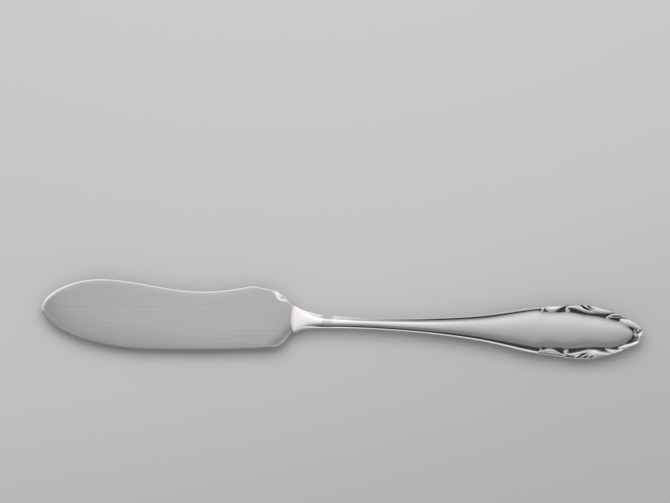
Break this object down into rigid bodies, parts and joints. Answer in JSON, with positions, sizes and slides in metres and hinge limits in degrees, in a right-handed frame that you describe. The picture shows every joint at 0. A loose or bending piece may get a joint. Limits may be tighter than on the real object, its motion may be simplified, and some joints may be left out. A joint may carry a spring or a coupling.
{
  "type": "butter knife",
  "caption": "Butter knife with a broad round-tipped satin blade, a flared bolster and a hollow spoon-shaped silver handle edged with scrolls and leaves.",
  "frame": {"origin": "under the middle of the knife's box, level with the lowest place of the handle's lower shell", "axes": "+X from the blade's tip to the handle's end, +Y to the back of the blade, +Z out of the blade's upper face"},
  "size_m": [0.175, 0.02, 0.0075],
  "materials": {
    "satin_steel": "satin, brushed lengthwise",
    "polished_silver": "polished silver",
    "stamped_silver": "silver with fine wear, darkened in the recesses",
    "cement": "rough cast cement"
  },
  "bodies": {
    "root": {"blade": "satin_steel", "bolster": "polished_silver", "handle_front_shell": "stamped_silver", "handle_back_shell": "stamped_silver", "handle_filler": "cement"}
  },
  "joints": []
}
